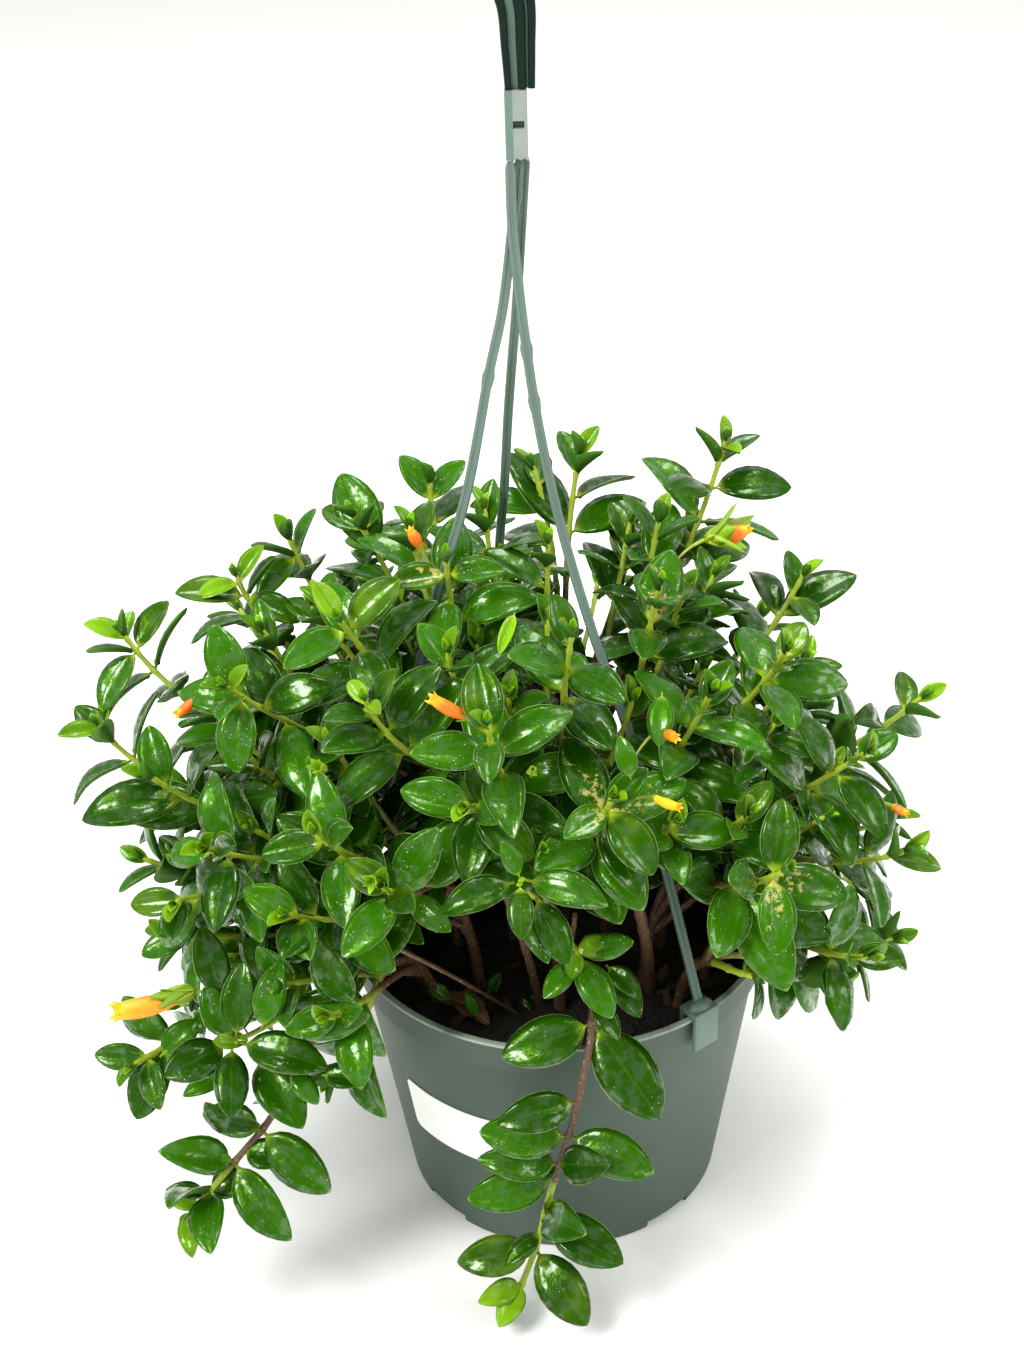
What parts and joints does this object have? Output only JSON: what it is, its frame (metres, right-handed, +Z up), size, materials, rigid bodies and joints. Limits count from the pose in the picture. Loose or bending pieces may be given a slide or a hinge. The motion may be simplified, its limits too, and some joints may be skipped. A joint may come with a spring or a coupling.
{
  "type": "potted goldfish plant",
  "caption": "Bushy trailing houseplant with glossy paired leaves and orange pouch blooms, in a round hanging-basket pot with a strand hanger and hook.",
  "frame": {"origin": "centre of the pot's foot, on the surface it stands on", "axes": "+Z up along the pot, -Y towards the front that the picture shows"},
  "size_m": [0.3208, 0.2695, 0.48],
  "materials": {
    "pot": "moulded grey-green plastic with a soft sheen",
    "label": "plain white sticker",
    "soil": "dark moist potting mix with bark",
    "dead_leaf": "dry brown leaf",
    "strand": "sage green moulded plastic",
    "shank": "pale translucent moulded plastic",
    "hook": "dark green moulded plastic",
    "foliage": "fleshy glossy leaves on green and red-brown stems",
    "bloom": "waxy orange pouch flowers"
  },
  "bodies": {
    "root": {"bloom_1": "bloom", "bloom_2": "bloom", "bloom_3": "bloom", "bloom_4": "bloom", "bloom_5": "bloom", "bloom_6": "bloom", "bloom_7": "bloom", "bloom_8": "bloom", "dead_leaf": "dead_leaf", "hanger_hook": "hook", "hanger_shank": "shank", "hanger_strand_back": "strand", "hanger_strand_front": "strand", "hanger_strand_left": "strand", "label": "label", "pot": "pot", "soil": "soil", "spray_01": "foliage", "spray_02": "foliage", "spray_03": "foliage", "spray_04": "foliage", "spray_05": "foliage", "spray_06": "foliage", "spray_07": "foliage", "spray_08": "foliage", "spray_09": "foliage", "spray_10": "foliage", "spray_11": "foliage", "spray_12": "foliage", "spray_13": "foliage", "spray_14": "foliage", "spray_15": "foliage", "spray_16": "foliage", "spray_17": "foliage", "spray_18": "foliage", "spray_19": "foliage", "spray_20": "foliage", "spray_21": "foliage", "trailing_stem_front": "foliage", "trailing_stem_left": "foliage"}
  },
  "joints": []
}
